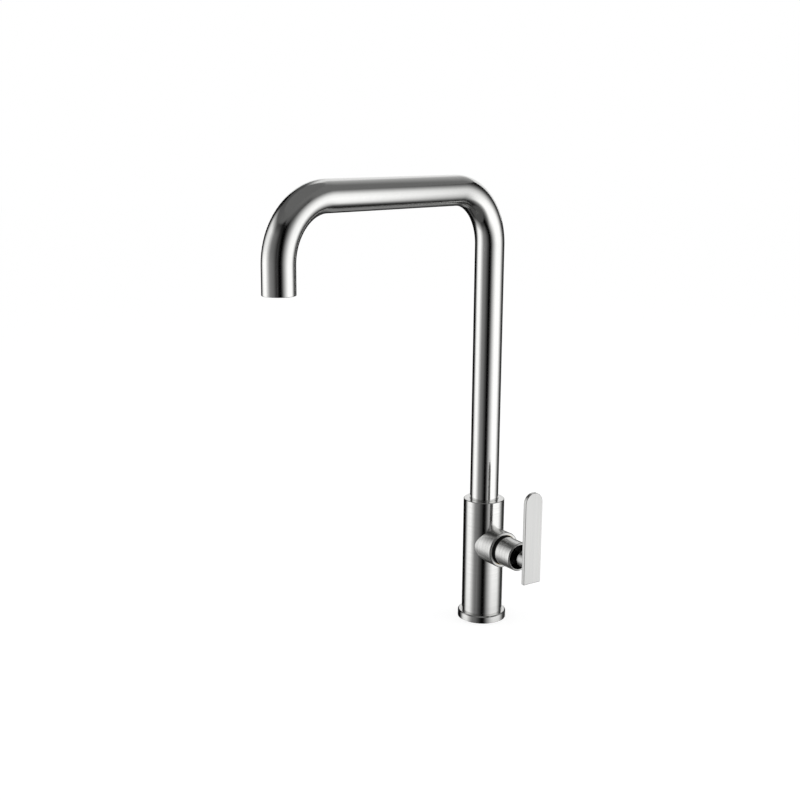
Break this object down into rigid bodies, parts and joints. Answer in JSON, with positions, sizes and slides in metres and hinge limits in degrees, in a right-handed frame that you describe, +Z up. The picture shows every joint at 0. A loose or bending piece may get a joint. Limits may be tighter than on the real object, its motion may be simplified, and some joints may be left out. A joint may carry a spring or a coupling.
{
  "type": "gooseneck bar faucet",
  "caption": "Tall swivel spout in round tube with two square bends, on a round body whose side boss carries a flat blade lever that mixes and opens the water.",
  "frame": {"origin": "on the body's axis, in the deck plane that the base flange stands on", "axes": "+Z up along the body and riser, +X out along the side boss and cartridge, the spout's arm at rest towards -Y, turned 13.8 degrees towards the boss"},
  "size_m": [0.0911, 0.267, 0.3935],
  "materials": {
    "brushed_steel": "fine brushed stainless steel",
    "seal_rubber": "matte black rubber",
    "brass": "machined",
    "screw_steel": "turned stainless steel",
    "cartridge_plastic": "black acetal",
    "aerator_plastic": "grey acetal",
    "ceramic": "lapped alumina"
  },
  "bodies": {
    "body": {"body_shell": "brushed_steel", "base_flange": "brushed_steel", "base_gasket": "seal_rubber", "valve_core": "brass", "spout_keeper_screw": "screw_steel", "cartridge_base": "cartridge_plastic", "cold_port_seal": "seal_rubber", "hot_port_seal": "seal_rubber", "mixed_port_seal": "seal_rubber", "fixed_disc": "ceramic", "cartridge_housing": "cartridge_plastic", "retaining_nut": "brass", "trim_cap": "brushed_steel", "cap_ring": "seal_rubber", "spout_slip_ring": "cartridge_plastic"},
    "spout": {"spout_tube": "brushed_steel", "spout_foot": "brass", "spout_upper_oring": "seal_rubber", "spout_lower_oring": "seal_rubber", "outlet_insert": "brass", "aerator_housing": "aerator_plastic", "aerator_seal": "seal_rubber", "flow_regulator": "aerator_plastic", "upper_screen": "screw_steel", "lower_screen": "screw_steel"},
    "turret": {"turret": "cartridge_plastic", "pivot_pin": "screw_steel"},
    "lever": {"cartridge_stem": "brass", "handle_lever": "brushed_steel", "handle_grub_screw": "screw_steel"},
    "disc_carriage": {"disc_carrier": "cartridge_plastic", "moving_disc": "ceramic"}
  },
  "joints": [
    {"name": "spout_swivel", "type": "hinge", "parent": "body", "child": "spout", "pos_m": [0, 0, 0.1055], "axis": [0, 0, 1], "continuous": true},
    {"name": "lever_turn", "type": "hinge", "parent": "body", "child": "turret", "pos_m": [0.035, 0, 0.0705], "axis": [1, 0, 0], "range_deg": [-50, 50]},
    {"name": "lever_tilt", "type": "hinge", "parent": "turret", "child": "lever", "pos_m": [0.035, 0, 0.0705], "axis": [0, 1, 0], "range_deg": [0, 18]},
    {"name": "disc_slide", "type": "slide", "parent": "turret", "child": "disc_carriage", "axis": [0, 0, 1], "range_m": [0, 0.00475]}
  ],
  "couplings": [
    {"joint": "disc_slide", "follows": "lever_tilt", "m_per_rad": 0.0151}
  ]
}
